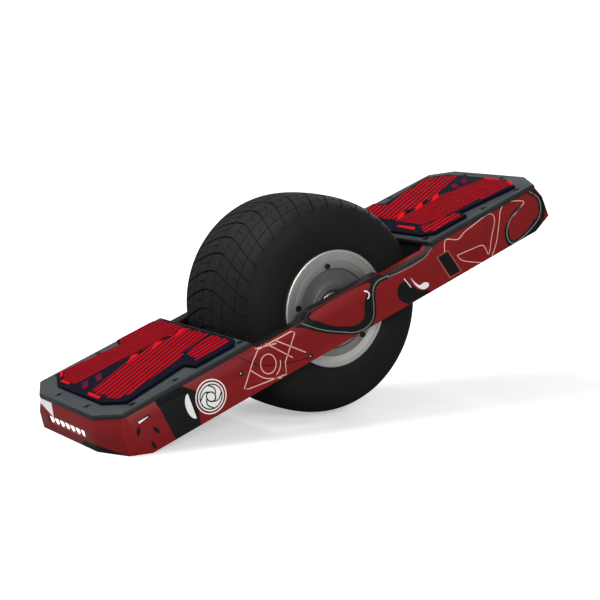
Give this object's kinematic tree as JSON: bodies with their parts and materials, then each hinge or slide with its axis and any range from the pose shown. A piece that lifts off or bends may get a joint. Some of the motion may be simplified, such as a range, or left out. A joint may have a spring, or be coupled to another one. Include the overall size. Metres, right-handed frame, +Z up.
{
  "type": "one-wheeled electric board",
  "caption": "Self-balancing electric board with a wide hub-motor wheel between two side rails, ribbed foot pads, printed rail guards and bumpers with lamp strips.",
  "frame": {"origin": "on the ground, under the centre of the axle, with the board resting on its tyre and its tail skid", "axes": "+X towards the raised nose, +Y towards the board's left side, +Z up"},
  "size_m": [0.6878, 0.235, 0.3006],
  "materials": {
    "shell_print": "printed satin red shell",
    "rail_metal": "black anodised",
    "block_metal": "dark anodised",
    "plate_plastic": "fine moulded grain",
    "grip": "moulded ribbed grip",
    "film": "thin printed film",
    "lens": "clear white",
    "circuit": "solder mask",
    "box_plastic": "moulded",
    "cell_wrap": "shrink-wrapped",
    "seal_rubber": "matt",
    "capacitor_can": "sleeved can",
    "steel": "machined",
    "core_iron": "stacked laminations",
    "copper": "enamelled copper wire",
    "magnet": "plated",
    "wheel_metal": "machined and clear coated",
    "cover_metal": "brushed",
    "tyre": "moulded rubber",
    "valve_rubber": "matt",
    "valve_metal": "turned",
    "cable": "jacketed",
    "socket_plastic": "moulded",
    "button": "satin",
    "bezel": "anodised",
    "screw": "black oxide"
  },
  "bodies": {
    "board": {"left_rail_guard": "shell_print", "right_rail_guard": "shell_print", "nose_bumper": "shell_print", "tail_bumper": "shell_print", "left_rail": "rail_metal", "right_rail": "rail_metal", "left_axle_block": "block_metal", "right_axle_block": "block_metal", "nose_footpad_base": "plate_plastic", "tail_footpad_base": "plate_plastic", "nose_grip_pad": "grip", "tail_grip_pad": "grip", "foot_sensor": "film", "nose_light_lenses": "lens", "tail_light_lenses": "lens", "nose_light_board": "circuit", "tail_light_board": "circuit", "battery_management_board": "circuit", "motor_controller_board": "circuit", "balance_sensor_board": "circuit", "hall_sensor_board": "circuit", "battery_box": "box_plastic", "battery_lid": "box_plastic", "controller_box": "box_plastic", "controller_lid": "box_plastic", "cell_holders": "box_plastic", "battery_cells": "cell_wrap", "box_gaskets": "seal_rubber", "cable_gland": "seal_rubber", "capacitors": "capacitor_can", "axle": "steel", "bearing_inner_rings": "steel", "charge_cover_pin": "steel", "stator_core": "core_iron", "stator_windings": "copper", "motor_cable": "cable", "charge_socket": "socket_plastic", "power_switch": "socket_plastic", "power_button_bezel": "bezel", "footpad_screws": "screw", "lid_screws": "screw", "bumper_screws": "screw", "axle_block_bolts": "screw", "box_mount_screws": "screw", "guard_screws": "screw"},
    "wheel": {"tyre": "tyre", "rim": "wheel_metal", "left_motor_cover": "cover_metal", "right_motor_cover": "cover_metal", "rotor_ring": "steel", "rotor_magnets": "magnet", "bearing_outer_rings": "steel", "bearing_balls": "steel", "shaft_seals": "seal_rubber", "motor_cover_bolts": "screw", "valve_stem": "valve_metal", "valve_cap": "valve_rubber"},
    "power_button": {"power_button": "button"},
    "charge_port_cover": {"charge_port_cover": "seal_rubber"}
  },
  "joints": [
    {"name": "wheel_spin", "type": "hinge", "parent": "board", "child": "wheel", "pos_m": [0, 0, 0.1435], "axis": [0, 1, 0], "continuous": true},
    {"name": "power_button_press", "type": "slide", "parent": "board", "child": "power_button", "axis": [0, -1, 0], "range_m": [0, 0.001], "stiffness_N_per_m": 500},
    {"name": "charge_cover_hinge", "type": "hinge", "parent": "board", "child": "charge_port_cover", "pos_m": [0.1801, 0.1153, 0.22118], "axis": [0.9323, 0, 0.3616], "range_deg": [0, 95]}
  ]
}
